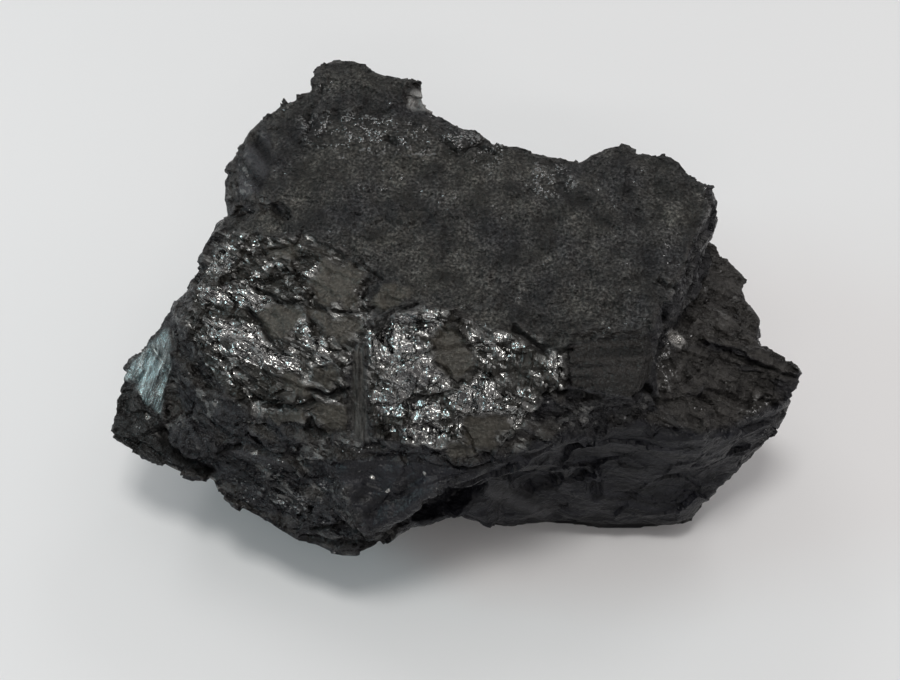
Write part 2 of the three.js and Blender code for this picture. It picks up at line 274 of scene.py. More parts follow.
# open cracks: (half width in mm, depth in mm, line)
CRACKS = [
    (0.26, 1.0, [(-27.5, 19), (-24.5, 17.5), (-21, 16.5), (-20, 17)]),
    (0.23, 0.8, [(-18, 16), (-14.5, 15.5), (-12, 15.5), (-11, 16)]),
    (0.30, 0.9, [(-28.5, 16), (-26.5, 14.5), (-25, 11.5)]),
    (0.20, 0.7, [(-11.5, 20), (-12.5, 17), (-12, 15), (-10.5, 13)]),
    (0.20, 0.7, [(-11, 13.5), (-9, 14), (-7, 16), (-5, 16.5)]),
    (0.23, 0.8, [(-6, 3.5), (-3, 4.5), (0.5, 5.5)]),
    (0.26, 0.8, [(-29.5, 3.5), (-26, 3), (-23, 4)]),
    (0.23, 0.8, [(-25.5, 2.5), (-22, 3), (-19, 3.5)]),
    (0.40, 1.1, [(-19.5, 5), (-17, 4.5), (-14.5, 5)]),
    (0.40, 1.1, [(-20, -0.5), (-19.5, 1), (-18, -1)]),
    (0.35, 1.1, [(8, 13.5), (10, 12), (12.5, 10)]),
    (0.30, 1.0, [(11.5, 5), (13, 6), (14, 5), (17, 4.5), (20, 4)]),
    (0.40, 1.2, [(26, 5.5), (27, 4.5), (28.5, 3.5)]),
    (0.25, 0.4, [(-19, 48.5), (-19.5, 46.5), (-21, 44), (-20.5, 42.5), (-22, 40)]),
    (0.26, 0.7, [(-2, 40.5), (1, 38.5), (3.5, 39.5), (6.5, 38)]),
    (0.30, 0.9, [(28, 20), (29, 19), (30, 19)]),
    (0.23, 0.9, [(38.5, 10), (43.5, 8), (49, 6.5)]),
    (0.59, 1.6, [(-42, -1), (-41, -3.5), (-39, -5.5), (-35, -7)]),
    (0.30, 0.9, [(-20, -15), (-15, -13.5), (-12, -15.5)]),
    (0.26, 0.8, [(-16, -17), (-11, -16.5), (-7, -13.5)]),
    (0.30, 0.9, [(-33.5, -4.4), (-32.4, -3.7), (-30.1, -3.1)]),
    (0.30, 0.9, [(-21.6, -16.5), (-17.3, -16.7), (-14.4, -16.4), (-11.4, -16.3)]),
    (0.26, 0.8, [(-1, -4.5), (2, -5.5), (5, -5)]),
    (0.23, 0.7, [(11.5, 11), (15.5, 10.5)]),
    (0.17, 0.6, [(-12.5, 22.5), (-11, 21), (-9.5, 20)]),
    (0.17, 0.6, [(-25.5, 22.5), (-23, 22.5), (-21.5, 23)]),
    (0.17, 0.6, [(-26, 24), (-24, 24.5), (-21.5, 25)]),
    (0.20, 0.6, [(-2.5, 9), (-1, 7.5), (0.5, 6), (1.5, 6.5)]),
    (0.13, 0.5, [(1, 0.5), (2.5, -1.5), (3, -3)]),
    (0.33, 0.9, [(-9.5, 40.5), (-8.5, 39.5)]),
    (0.36, 0.9, [(-25, 30), (-23, 29)]),
]

# ledges, where the surface below the line lies deeper: (drop in mm, reach in mm, line)
LEDGES = [
    (1.1, 3.0, [(-34.8, 0.6), (-29.6, -2.1), (-25.3, -3), (-21.1, -4), (-16.9, -4.8),
                (-14.8, -4.2)]),
    (0.6, 2.0, [(-12, -3.5), (-4, -3.6)]),
    (0.8, 1.6, [(-24, -14.7), (-20.1, -14.8), (-18.6, -14), (-15, -13.3), (-12.9, -14.1)]),
    (0.6, 2.0, [(-35, -5), (-29, -6), (-24, -7.5), (-17, -9)]),
    (0.6, 2.0, [(-33, -8), (-24, -9.5), (-16, -11.5)]),
    (0.5, 1.5, [(-30, -11), (-22, -13.5), (-16, -15)]),
    (0.35, 2.5, [(-21.4, 44.9), (-17.7, 44.5), (-13.4, 44.8), (-9.1, 45.4), (-4.2, 45.4)]),
    (0.6, 2.5, [(15, 5.5), (20, 4.5), (26, 5)]),
    (0.5, 2.5, [(-38, 13), (-33, 9), (-28, 8), (-24, 5)]),
    (0.5, 2.5, [(11, 12.9), (14.2, 12.9), (19.5, 12.3), (24.9, 12.6), (27.2, 12.1)]),
]


# ---------------------------------------------------------------- repeatable random patterns

def lattice_random(cells, seed, channels):
    """Random numbers from 0 to 1 for whole-number cells, the same every run."""
    c = cells.astype(np.int64).astype(np.uint32)
    # the large numbers only stir the digits
    h = c[:, 0] * np.uint32(73856093)
    h ^= c[:, 1] * np.uint32(19349663)
    h ^= c[:, 2] * np.uint32(83492791)
    h ^= np.uint32((seed * 2654435761) & 0xFFFFFFFF)
    columns = []
    for _ in range(channels):
        h = (h ^ (h >> np.uint32(15))) * np.uint32(2246822519)
        h = (h ^ (h >> np.uint32(13))) * np.uint32(3266489917)
        h ^= h >> np.uint32(16)
        columns.append(h.astype(np.float64) / 4294967295.0)
    return np.stack(columns, 1)


def smooth_noise(points, size, seed):
    """Soft noise from -1 to 1 whose lumps are about size mm across."""
    q = points / size
    base = np.floor(q)
    f = q - base
    f = f * f * (3 - 2 * f)
    total = np.zeros(len(points))
    for dx in (0, 1):
        for dy in (0, 1):
            for dz in (0, 1):
                weight = (
                    (f[:, 0] if dx else 1 - f[:, 0])
                    * (f[:, 1] if dy else 1 - f[:, 1])
                    * (f[:, 2] if dz else 1 - f[:, 2])
                )
                total += weight * lattice_random(base + (dx, dy, dz), seed, 1)[:, 0]
    return total * 2 - 1


def layered_noise(points, size, seed, layers=3):
    """Soft noise with finer, weaker layers over the first."""
    total = np.zeros(len(points))
    for k in range(layers):
        total += smooth_noise(points, size / 2**k, seed + k) / 2**k
    return total


def broken_facets(points, size, seed, axes=None):
    """Flat facets that meet at sharp steps: how high each point stands, for a facet tilt of 1.

    size is the facets' length along each of the three axes, which are X, Y and Z unless given.
    """
    size = np.broadcast_to(np.asarray(size, float), (3,))
    turned = points if axes is None else points @ np.asarray(axes, float).T
    q = turned / size
    base = np.floor(q)
    nearest = np.full(len(points), 1e9)
    height = np.zeros(len(points))
    for dx in (-1, 0, 1):
        for dy in (-1, 0, 1):
            for dz in (-1, 0, 1):
                cell = base + (dx, dy, dz)
                r = lattice_random(cell, seed, 6)
                away = q - cell - r[:, :3]
                distance = (away**2).sum(1)
                closer = distance < nearest
                tilt = (r[:, 3:] - 0.5) * 2
                nearest = np.where(closer, distance, nearest)
                height = np.where(closer, (tilt * away * size.min()).sum(1), height)
    return height


def ramp(low, high, values):
    """0 below low, 1 above high, and a smooth climb between."""
    t = np.clip((values - low) / (high - low), 0, 1)
    return t * t * (3 - 2 * t)


# ---------------------------------------------------------------- the drawing plane

def on_plane(points):
    """Where points fall on the drawing plane, in mm."""
    up_the_lean = points[:, 1] * math.sin(LEAN) + points[:, 2] * math.cos(LEAN)
    return np.stack([points[:, 0], up_the_lean], 1)


def faces_plane(normals):
    """1 where a face is turned towards the drawing plane, 0 where it is turned away."""
    facing = normals[:, 2] * math.sin(LEAN) - normals[:, 1] * math.cos(LEAN)
    return ramp(-0.1, 0.12, facing)


def line_distance(spots, line):
    """Distance to a line, and the side of it that each spot lies on.

    The side is positive below the line or right of it.
    """
    nearest = np.full(len(spots), 1e9)
    side = np.ones(len(spots))
    for (ax, ay), (bx, by) in zip(line[:-1], line[1:]):
        ux, uy = bx - ax, by - ay
        t = np.clip(((spots[:, 0] - ax) * ux + (spots[:, 1] - ay) * uy) / (ux * ux + uy * uy), 0, 1)
        dx = spots[:, 0] - ax - t * ux
        dy = spots[:, 1] - ay - t * uy
        distance = np.hypot(dx, dy)
        closer = distance < nearest
        nearest = np.where(closer, distance, nearest)
        side = np.where(closer, np.sign(dx * uy - dy * ux), side)
    return nearest, side


def inside(spots, outline, edge, wobble):
    """1 inside an outline and 0 outside it, with a ragged edge of the given width."""
    margin = 3.0
    corners = np.array(outline)
    near = np.all((spots > corners.min(0) - margin) & (spots < corners.max(0) + margin), 1)
    result = np.zeros(len(spots))
    local = spots[near]
    if not len(local):
        return result
    closed = list(outline) + [outline[0]]
    distance, _ = line_distance(local, closed)
    within = np.zeros(len(local), bool)
    for (ax, ay), (bx, by) in zip(closed[:-1], closed[1:]):
        if ay == by:
            continue
        crosses = (ay > local[:, 1]) != (by > local[:, 1])
        x_there = ax + (local[:, 1] - ay) * (bx - ax) / (by - ay)
        within ^= crosses & (local[:, 0] < x_there)
    signed = np.where(within, distance, -distance) + wobble[near]
    result[near] = ramp(-edge / 2, edge / 2, signed)
    return result


# ---------------------------------------------------------------- what kind of coal lies where

def bed_height(points):
    """Height across the bedding, which dips a little towards the front, in mm."""
    return points[:, 2] - BED_DIP * points[:, 1] + 0.6 * smooth_noise(points, 14, 301)


def coal_kinds(points, normals):
    """How much of each kind of coal lies at each point, from 0 to 1."""
    spots = on_plane(points)
    seen = faces_plane(normals)
    wobble = 0.5 * layered_noise(points, 2.2, 11)
    fine_wobble = 0.18 * layered_noise(points, 1.0, 17)

    def area(outline, edge=0.7, rough=wobble):
        return inside(spots, outline, edge, rough) * seen

    kinds = {}
    kinds["fibre"] = area(FIBRE_BAND, 0.8, 0.7 * wobble)
    kinds["right_foil"] = area(BRIGHT_RIGHT, 1.0)
    bright = np.maximum(area(BRIGHT_LEFT, 1.6, 2 * wobble), kinds["right_foil"])
    bright = bright * (1 - kinds["fibre"])

    torn = 1.5 * wobble + 2 * fine_wobble
    foil = np.maximum.reduce([area(outline, 1.2, torn) for outline in FOIL])
    elsewhere = 0.32 + 0.18 * kinds["right_foil"]
    scattered = ramp(-0.35, 0.45, layered_noise(points, 4.5, 91))
    kinds["foil"] = np.clip(foil + elsewhere * scattered, 0, 1)

    kinds["plate"] = np.zeros(len(points))
    kinds["plate_rise"] = np.zeros(len(points))
    chipped = 1.3 * wobble + 2 * fine_wobble
    for rise, outline in PLATES:
        here = area(outline, 1.0, chipped)
        kinds["plate"] = np.maximum(kinds["plate"], here)
        kinds["plate_rise"] = np.maximum(kinds["plate_rise"], here * rise)
    kinds["dull_plate"] = area(DULL_PLATE, 0.5, fine_wobble)

    kinds["striated"] = area(STRIATED_END, 0.5)
    kinds["grey"] = area(GREY_END, 0.6)
    kinds["sparkly"] = np.maximum.reduce([area(outline, 2.0) for outline in SPARKLY])
    lined = [area(outline, 1.0) for _, _, _, outline in GROOVES]
    for centre, _, outer, _, _ in RIBS:
        away = np.hypot(*(spots - centre).T)
        lined.append((1 - ramp(0.6 * outer, outer, away)) * seen)
    kinds["lined"] = np.maximum.reduce(lined)

    # painted highlights: the glint spot, the right-facing side of the lit facet, and small pale
    # flakes
    lit = inside(spots, LIT_FACET, 0.5, fine_wobble) * ramp(0.15, 0.35, normals[:, 0])
    kinds["painted_glint"] = np.maximum(area(PAINTED_GLINT_SPOT, 0.4, fine_wobble), 0.35 * lit)
    for centre, radius in PAINTED_GLINT_FLAKES:
        away = np.hypot(*(spots - centre).T)
        kinds["painted_glint"] = np.maximum(kinds["painted_glint"], (away < radius) * seen)

    kinds["prow"] = area(PROW, 0.6)
    kinds["smooth"] = np.maximum(area(SMOOTH_FRONT, 1.5), area(SMOOTH_LEFT, 1.0))
    kinds["hackly"] = area(HACKLY_BLOCK, 1.0)
    # the foot is rougher, and painted darker towards the table as shade
    kinds["foot"] = kinds["smooth"] * (1 - ramp(*SHADED_DULL_FOOT, points[:, 2] + wobble))
    flat = ramp(0.8, 0.93, normals[:, 2]) * ramp(*TOP_FACE, points[:, 2])
    kinds["top"] = flat * (1 - np.maximum.reduce([bright, kinds["fibre"], kinds["dull_plate"]]))
    named = np.maximum.reduce([bright] + [kinds[name] for name in (
        "fibre", "plate", "dull_plate", "striated", "grey", "prow", "smooth", "hackly", "top")])
    kinds["plain"] = 1 - named
    kinds["level"] = ramp(0.5, 0.85, normals[:, 2]) * np.maximum(kinds["plain"], kinds["hackly"])

    # bright bands run along the bedding on the far sides, and come as patches on the near ones
    along_beds = np.stack([points[:, 0] * 0.06, points[:, 1] * 0.06, bed_height(points)], 1)
    band = smooth_noise(along_beds, 3.1, 71)
    glossy = 0.3 * ramp(-0.1, 0.5, layered_noise(points, 3.0, 77)) * seen
    kinds["bright_band"] = (ramp(0.1, 0.35, band) * (1 - seen) + glossy) * kinds["plain"]
    kinds["bright"] = np.clip(bright * (1 - kinds["plate"]), 0, 1)
    return kinds


# ---------------------------------------------------------------- carving

def crack_depth(points, normals):
    """How deep the open cracks go, in mm."""
    spots = on_plane(points)
    wobble = np.stack([smooth_noise(points, 1.3, 401), smooth_noise(points, 1.3, 402)], 1) * 0.35
    spots = spots + wobble
    depth = np.zeros(len(points))
    for half_width, deep, line in CRACKS:
        corners = np.array(line)
        near = np.all((spots > corners.min(0) - 2) & (spots < corners.max(0) + 2), 1)
        distance, _ = line_distance(spots[near], line)
        depth[near] = np.maximum(depth[near], deep * np.exp(-(distance / half_width) ** 2))
    return depth * faces_plane(normals)


def ledge_drop(points, normals):
    """How far the surface drops below each ledge, in mm."""
    spots = on_plane(points) + np.stack(
        [smooth_noise(points, 2.5, 411), smooth_noise(points, 2.5, 412)], 1) * 0.7
    drop = np.zeros(len(points))
    for deep, reach, line in LEDGES:
        distance, side = line_distance(spots, line)
        left, right = line[0][0], line[-1][0]
        across = spots[:, 0]
        along = ramp(left - 1.5, left + 1.5, across) * (1 - ramp(right - 1.5, right + 1.5, across))
        below = ramp(-0.2, 0.35, distance * side)
        drop = np.maximum(drop, deep * below * np.exp(-np.maximum(distance, 0) / reach) * along)
    return drop * faces_plane(normals)


def ridge_height(points, normals):
    """How high the raised creases stand, in mm."""
    spots = on_plane(points)
    height = np.zeros(len(points))
    for rise, half_width, line in RIDGES:
        distance, _ = line_distance(spots, line)
        height = np.maximum(height, rise * np.clip(1 - distance / half_width, 0, 1))
    return height * faces_plane(normals)


def hollow_depth(points, normals):
    """How deep the shallow hollows are, in mm."""
    spots = on_plane(points)
    wobble = 0.4 * layered_noise(points, 2.2, 11)
    depth = np.zeros(len(points))
    for deep, edge, outline in HOLLOWS:
        depth = np.maximum(depth, deep * inside(spots, outline, edge, wobble))
    return depth * faces_plane(normals)


def grooves(points, normals):
    """Fine parallel lines: how high they stand, and their pattern from -1 to 1."""
    spots = on_plane(points)
    wobble = 0.5 * layered_noise(points, 2.2, 11)
    height = np.zeros(len(points))
    pattern = np.zeros(len(points))
    for number, (direction, spacing, rise, outline) in enumerate(GROOVES):
        along = np.array([math.cos(math.radians(direction)), math.sin(math.radians(direction))])
        across = np.array([-along[1], along[0]])
        apart = np.full(len(spots), number * 9.0)
        flow = np.stack([spots @ across, spots @ along * 0.12, apart], 1)
        lines = inside(spots, outline, 0.8, wobble) * smooth_noise(flow, spacing, 83)
        height += rise * lines
        pattern += lines
    seen = faces_plane(normals)
    return height * seen, pattern * seen


def stairs(points, spots, down, step, rise, seed):
    """Broken steps whose treads face up: down is the way down the slope on the drawing plane."""
    down = np.array(down) / np.hypot(*down)
    run = (spots @ down + 0.45 * step * layered_noise(points, 1.8 * step, seed)) / step
    tread = np.floor(run)
    part = run - tread
    cells = np.stack([tread, np.zeros_like(tread), np.zeros_like(tread)], 1)
    size = 0.5 + lattice_random(cells, seed + 1, 1)[:, 0]
    size = size + 0.4 * smooth_noise(points, 3 * step, seed + 2)
    return rise * size * (part - ramp(0.78, 1.0, part))


def ribs(points, normals):
    """Curved ribs: how high they stand, and their pattern from -1 to 1."""
    spots = on_plane(points)
    height = np.zeros(len(points))
    pattern = np.zeros(len(points))
    for centre, inner, outer, spacing, rise in RIBS:
        radius = np.hypot(*(spots - centre).T) + 0.5 * smooth_noise(points, 3.0, 431)
        turn = radius / spacing
        saw = np.abs(turn - np.floor(turn) - 0.35)
        fade = ramp(inner - 0.5, inner + 0.5, radius) * (1 - ramp(outer * 0.6, outer, radius))
        height += rise * saw * fade * 1.5
        pattern += (saw * 1.5 - 0.5) * fade
    seen = faces_plane(normals)
    return height * seen, pattern * seen


def bedding(points, steepness, seed):
    """Beds that stand out from a steep face by different amounts."""
    height = bed_height(points) / 1.15 + 0.5 * smooth_noise(points, 5.0, seed)
    bed = np.floor(height)
    cells = np.stack([bed, np.zeros_like(bed), np.zeros_like(bed)], 1)
    stands_out = lattice_random(cells, seed + 1, 1)[:, 0] - 0.5
    round_the_lump = smooth_noise(points * (1, 1, 0) + cells * 7.3, 6.0, seed + 2)
    return (stands_out * 0.9 + 0.5 * round_the_lump) * steepness


def drawn_out(streak):
    """Axes for facets that are drawn out one way: along it, across it and outwards."""
    across = np.cross(streak, PLANE_NORMAL)
    return [np.array(streak), across, np.cross(streak, across)]


def carve(points, normals):
    """Moves every point of the plain body in or out along its normal."""
    kinds = coal_kinds(points, normals)
    spots = on_plane(points)
    height = points[:, 2]
    steep = 1 - ramp(0.35, 0.85, np.abs(normals[:, 2]))
    hidden = 1 - faces_plane(normals)
    left = kinds["bright"] * (1 - kinds["right_foil"])
    right = kinds["bright"] * kinds["right_foil"]
    calm = 1 - 0.75 * np.maximum(kinds["plate"], kinds["dull_plate"])
    lively = sum(share * kinds[name] for name, share in LIVELY.items())
    dull_lively = np.clip(lively - kinds["bright"], 0, 1) * (1 - 0.8 * kinds["lined"])

    lift = 0.30 * layered_noise(points, 9.0, 21) * calm
    lift += 0.40 * smooth_noise(points, 5.0, 23) * kinds["bright"]

    # facets: (height in mm, lengths along the axes in mm, seed, axes, where)
    left_axes, right_axes = drawn_out(LEFT_STREAK), drawn_out(RIGHT_STREAK)
    for rise, lengths, seed, axes, where in (
        (0.30, (7, 7, 4.5), 31, None, lively),
        (0.34, (5.2, 2.4, 2.4), 37, left_axes, left),
        (0.26, (2.4, 1.1, 1.1), 41, left_axes, left),
        (0.34, (5.0, 2.2, 2.2), 137, right_axes, right),
        (0.20, (3.0, 1.1, 1.1), 141, right_axes, right),
    ):
        lift += rise * broken_facets(points, lengths, seed, axes) * where

    # stepped foil: (the way down the slope, tread in mm, rise in mm, seed, where)
    flat_plates = 1 - 0.6 * kinds["plate"]
    left_zone = (kinds["bright"] + kinds["plate"]) * (1 - kinds["right_foil"]) * flat_plates
    right_zone = kinds["right_foil"] * flat_plates * (1 - kinds["fibre"])
    for down, tread, rise, seed, where in (
        ((-0.5, -0.87), 2.6, 0.85, 211, left_zone),
        ((0.15, -1.0), 5.0, 1.3, 221, right_zone),
        ((-0.5, -1.0), 2.1, 0.35, 231, right),
    ):
        lift += stairs(points, spots, down, tread, rise, seed) * where

    lift += 0.30 * layered_noise(points, 2.6, 57) * kinds["top"]
    lift += 0.18 * layered_noise(points, 1.1, 59, 2) * kinds["top"]

    # long slabs in the dull coal, lower at the lump's two ends
    slab_axes = drawn_out(SLAB_STREAK)
    ends = 1 - 0.6 * ramp(0.3, 0.7, np.abs(normals[:, 0]))
    small_slabs = dull_lively * ends * (1 - 0.45 * hidden)
    lift += 0.60 * broken_facets(points, (6.0, 2.0, 2.0), 43, slab_axes) * dull_lively * ends
    lift += 0.34 * broken_facets(points, (2.6, 0.9, 0.9), 47, slab_axes) * small_slabs
    lift += 0.25 * layered_noise(points, 3.5, 55) * kinds["prow"]
    lift += 0.12 * layered_noise(points, 1.1, 53) * (kinds["hackly"] + kinds["grey"])

    soft_beds = 1 - kinds["smooth"] - 0.7 * kinds["bright"] - 0.8 * kinds["plate"]
    soft_beds = np.clip(soft_beds - 0.8 * kinds["prow"], 0, 1)
    lift += 0.42 * bedding(points, steep, 61) * soft_beds
    lift += 0.35 * layered_noise(points, 6.0, 65) * kinds["smooth"]
    lift += 0.22 * broken_facets(points, (9, 6, 5), 67) * kinds["smooth"] * ramp(3, 8, height)

    lift += grooves(points, normals)[0] - 0.15 * kinds["fibre"]
    lift += ridge_height(points, normals) + ribs(points, normals)[0]
    lift += 0.7 * kinds["plate_rise"] + 0.35 * kinds["dull_plate"] + 0.15 * kinds["painted_glint"]
    lift -= crack_depth(points, normals)
    lift -= ledge_drop(points, normals)
    lift -= hollow_depth(points, normals)
    # the smooth front swells a little above its foot
    lift += 0.9 * ramp(1, 5, height) * (1 - ramp(7, 14, height)) * steep * kinds["smooth"]

    # nothing moves where the lump touches the table, and overhangs move less
    grounded = ramp(0.15, 2.5, height) * (1 - 0.55 * ramp(0.05, 0.5, -normals[:, 2]))
    carved = points + normals * (lift * grounded)[:, None]
    # the foot of the front right draws in a little
    foot = (1 - ramp(0, 5, height)) * (1 - ramp(-19, -8, points[:, 1]))
    carved[:, 1] += 0.8 * foot * ramp(0, 5, points[:, 0]) * (1 - ramp(32, 38, points[:, 0]))
    return carved


# ---------------------------------------------------------------- the body of the lump

def mesh_points(mesh):
    """The mesh's points, in mm."""
    places = np.empty(len(mesh.vertices) * 3, np.float32)
    mesh.vertices.foreach_get("co", places)
    return places.reshape(-1, 3).astype(np.float64) / MM


def mesh_normals(mesh):
    directions = np.empty(len(mesh.vertices) * 3, np.float32)
    mesh.vertex_normals.foreach_get("vector", directions)
    return directions.reshape(-1, 3).astype(np.float64)


def mesh_edges(mesh):
    ends = np.empty(len(mesh.edges) * 2, np.int32)
    mesh.edges.foreach_get("vertices", ends)
    return ends.reshape(-1, 2)


def spread(values, edges, rounds):
    """Averages a value with its neighbours, a few times over."""
    count = np.bincount(edges.ravel(), minlength=len(values)).astype(float)
    count = np.maximum(count, 1)
    for _ in range(rounds):
        total = np.zeros_like(values)
        for column in range(values.shape[1]):
            total[:, column] = np.bincount(edges[:, 0], values[edges[:, 1], column], len(values))
            total[:, column] += np.bincount(edges[:, 1], values[edges[:, 0], column], len(values))
        values = 0.5 * values + 0.5 * total / count[:, None]
    return values


def softened_normals(mesh, rounds):
    normals = spread(mesh_normals(mesh), mesh_edges(mesh), rounds)
    return normals / np.linalg.norm(normals, axis=1)[:, None]


def with_modifier(obj, kind, **settings):
    """The object's mesh after one modifier, as a new plain mesh on the same object."""
    modifier = obj.modifiers.new(kind.lower(), kind)
    for name, value in settings.items():
        setattr(modifier, name, value)
    bpy.context.view_layer.update()
    evaluated = obj.evaluated_get(bpy.context.evaluated_depsgraph_get())
    mesh = bpy.data.meshes.new_from_object(evaluated)
    obj.modifiers.remove(modifier)
    obj.data = mesh
    return mesh


def coal_body(solid):
    """A fine, closed copy of the plain solid, carved."""
    body = bpy.data.objects.new("coal_body", solid.data.copy())
    bpy.context.scene.collection.objects.link(body)
    with_modifier(body, "WELD", merge_threshold=1e-6)
    mesh = with_modifier(body, "REMESH", mode="VOXEL", voxel_size=VOXEL * MM)
    points = carve(mesh_points(mesh), softened_normals(mesh, SMOOTHING_ROUNDS))
    points[:, 2] = np.maximum(points[:, 2], 0)
    mesh.vertices.foreach_set("co", (points * MM).astype(np.float32).ravel())
    mesh.update()
    triangles = sum(len(p.vertices) - 2 for p in mesh.polygons)
    with_modifier(body, "DECIMATE", ratio=min(1.0, TRIANGLE_LIMIT / triangles))
    return body


def add_attribute(mesh, name, values):
    layer = mesh.attributes.new(name, "FLOAT", "POINT")
    layer.data.foreach_set("value", values.astype(np.float32))


def mark_kinds(body):
    """Writes how much of each kind of coal lies at each point, for the material."""
    mesh = body.data
    points = mesh_points(mesh)
    normals = softened_normals(mesh, MARKING_ROUNDS)
    kinds = coal_kinds(points, normals)
    for name in KINDS:
        add_attribute(mesh, name, kinds[name])
    # the cracks' depth, which the material also uses to paint shade inside them
    add_attribute(mesh, "crack", np.clip(crack_depth(points, normals), 0, 1))
    stripes = grooves(points, normals)[1] + ribs(points, normals)[1]
    add_attribute(mesh, "stripe", np.clip(0.5 + stripes, 0, 1))


# ---------------------------------------------------------------- materials

class Nodes:
    """Adds nodes to a tree and joins them up, a row at a time."""

    def __init__(self, tree):
        self.tree = tree

    def add(self, kind, inputs=None, **settings):
        """A new node. Each input is linked to another node's output or set to a plain value."""
        node = self.tree.nodes.new(kind)
        for name, value in settings.items():
            setattr(node, name, value)
        for name, value in (inputs or {}).items():
            socket = node.inputs[name]
            if isinstance(value, bpy.types.NodeSocket):
                self.tree.links.new(value, socket)
            else:
                socket.default_value = value
        return node

    def math(self, operation, a, b=0.0, c=0.0, clamp=False):
        settings = {"operation": operation, "use_clamp": clamp}
        return self.add("ShaderNodeMath", {0: a, 1: b, 2: c}, **settings).outputs[0]

    def most(self, first, *others):
        """The largest of some values."""
        for other in others:
            first = self.math("MAXIMUM", first, other)
        return first

    def without(self, value, *masks):
        """A value, brought down to nothing where a mask is 1."""
        keep = self.math("SUBTRACT", 1.0, self.most(*masks), clamp=True)
        return self.math("MULTIPLY", value, keep)

    def vector(self, operation, a, b):
        node = self.add("ShaderNodeVectorMath", {0: a, 1: b}, operation=operation)
        return node.outputs["Value"] if operation == "DOT_PRODUCT" else node.outputs["Vector"]

    def mix(self, amount, a, b):
        """A mix of two colours; the numbers are the places of a colour mix's sockets."""
        return self.add("ShaderNodeMix", {0: amount, 6: a, 7: b}, data_type="RGBA").outputs[2]

    def blend(self, amount, a, b):
        """A mix of two plain numbers."""
        return self.add("ShaderNodeMix", {0: amount, 2: a, 3: b}, data_type="FLOAT").outputs[0]

    def attribute(self, name):
        return self.add("ShaderNodeAttribute", attribute_name=name).outputs["Fac"]


def new_group(name, numbers_in, numbers_out):
    """A node group that takes a vector and some numbers, and puts numbers out."""
    tree = bpy.data.node_groups.new(name, "ShaderNodeTree")
    tree.interface.new_socket(name="Vector", in_out="INPUT", socket_type="NodeSocketVector")
    for label in numbers_in:
        tree.interface.new_socket(name=label, in_out="INPUT", socket_type="NodeSocketFloat")
    for label in numbers_out:
        tree.interface.new_socket(name=label, in_out="OUTPUT", socket_type="NodeSocketFloat")
    entry = tree.nodes.new("NodeGroupInput").outputs
    leave = tree.nodes.new("NodeGroupOutput").inputs
    return Nodes(tree), entry, leave


def facet_group():
    """Flat facets tilted at random: their height in metres, and a random number for each."""
    nodes, entry, leave = new_group("coal_facets", ["Facet Size", "Tilt"], ["Height", "Random"])
    scale = nodes.math("DIVIDE", 1.0, entry["Facet Size"])
    cells = nodes.add("ShaderNodeTexVoronoi", {"Vector": entry["Vector"], "Scale": scale}).outputs
    lean = nodes.vector("SUBTRACT", cells["Color"], (0.5, 0.5, 0.5))
    away = nodes.vector("SUBTRACT", entry["Vector"], cells["Position"])
    height = nodes.math("MULTIPLY", nodes.vector("DOT_PRODUCT", lean, away), entry["Tilt"])
    parts = nodes.add("ShaderNodeSeparateColor", {"Color": cells["Color"]})
    nodes.tree.links.new(height, leave["Height"])
    nodes.tree.links.new(parts.outputs["Red"], leave["Random"])
    return nodes.tree


def grain_group():
    """Fine grain: its height in metres for the size given, and a mottle from 0 to 1."""
    nodes, entry, leave = new_group("coal_grain", ["Grain Size", "Detail"], ["Height", "Mottle"])
    scale = nodes.math("DIVIDE", 1.0, entry["Grain Size"])
    grain = nodes.add("ShaderNodeTexNoise", {
        "Vector": entry["Vector"], "Scale": scale, "Detail": entry["Detail"], "Roughness": 0.62,
    }).outputs["Fac"]
    height = nodes.math("MULTIPLY", nodes.math("SUBTRACT", grain, 0.5), entry["Grain Size"])
    mottle = nodes.add("ShaderNodeMapRange", {"Value": grain, "From Min": 0.33, "From Max": 0.67})
    nodes.tree.links.new(height, leave["Height"])
    nodes.tree.links.new(mottle.outputs["Result"], leave["Mottle"])
    return nodes.tree


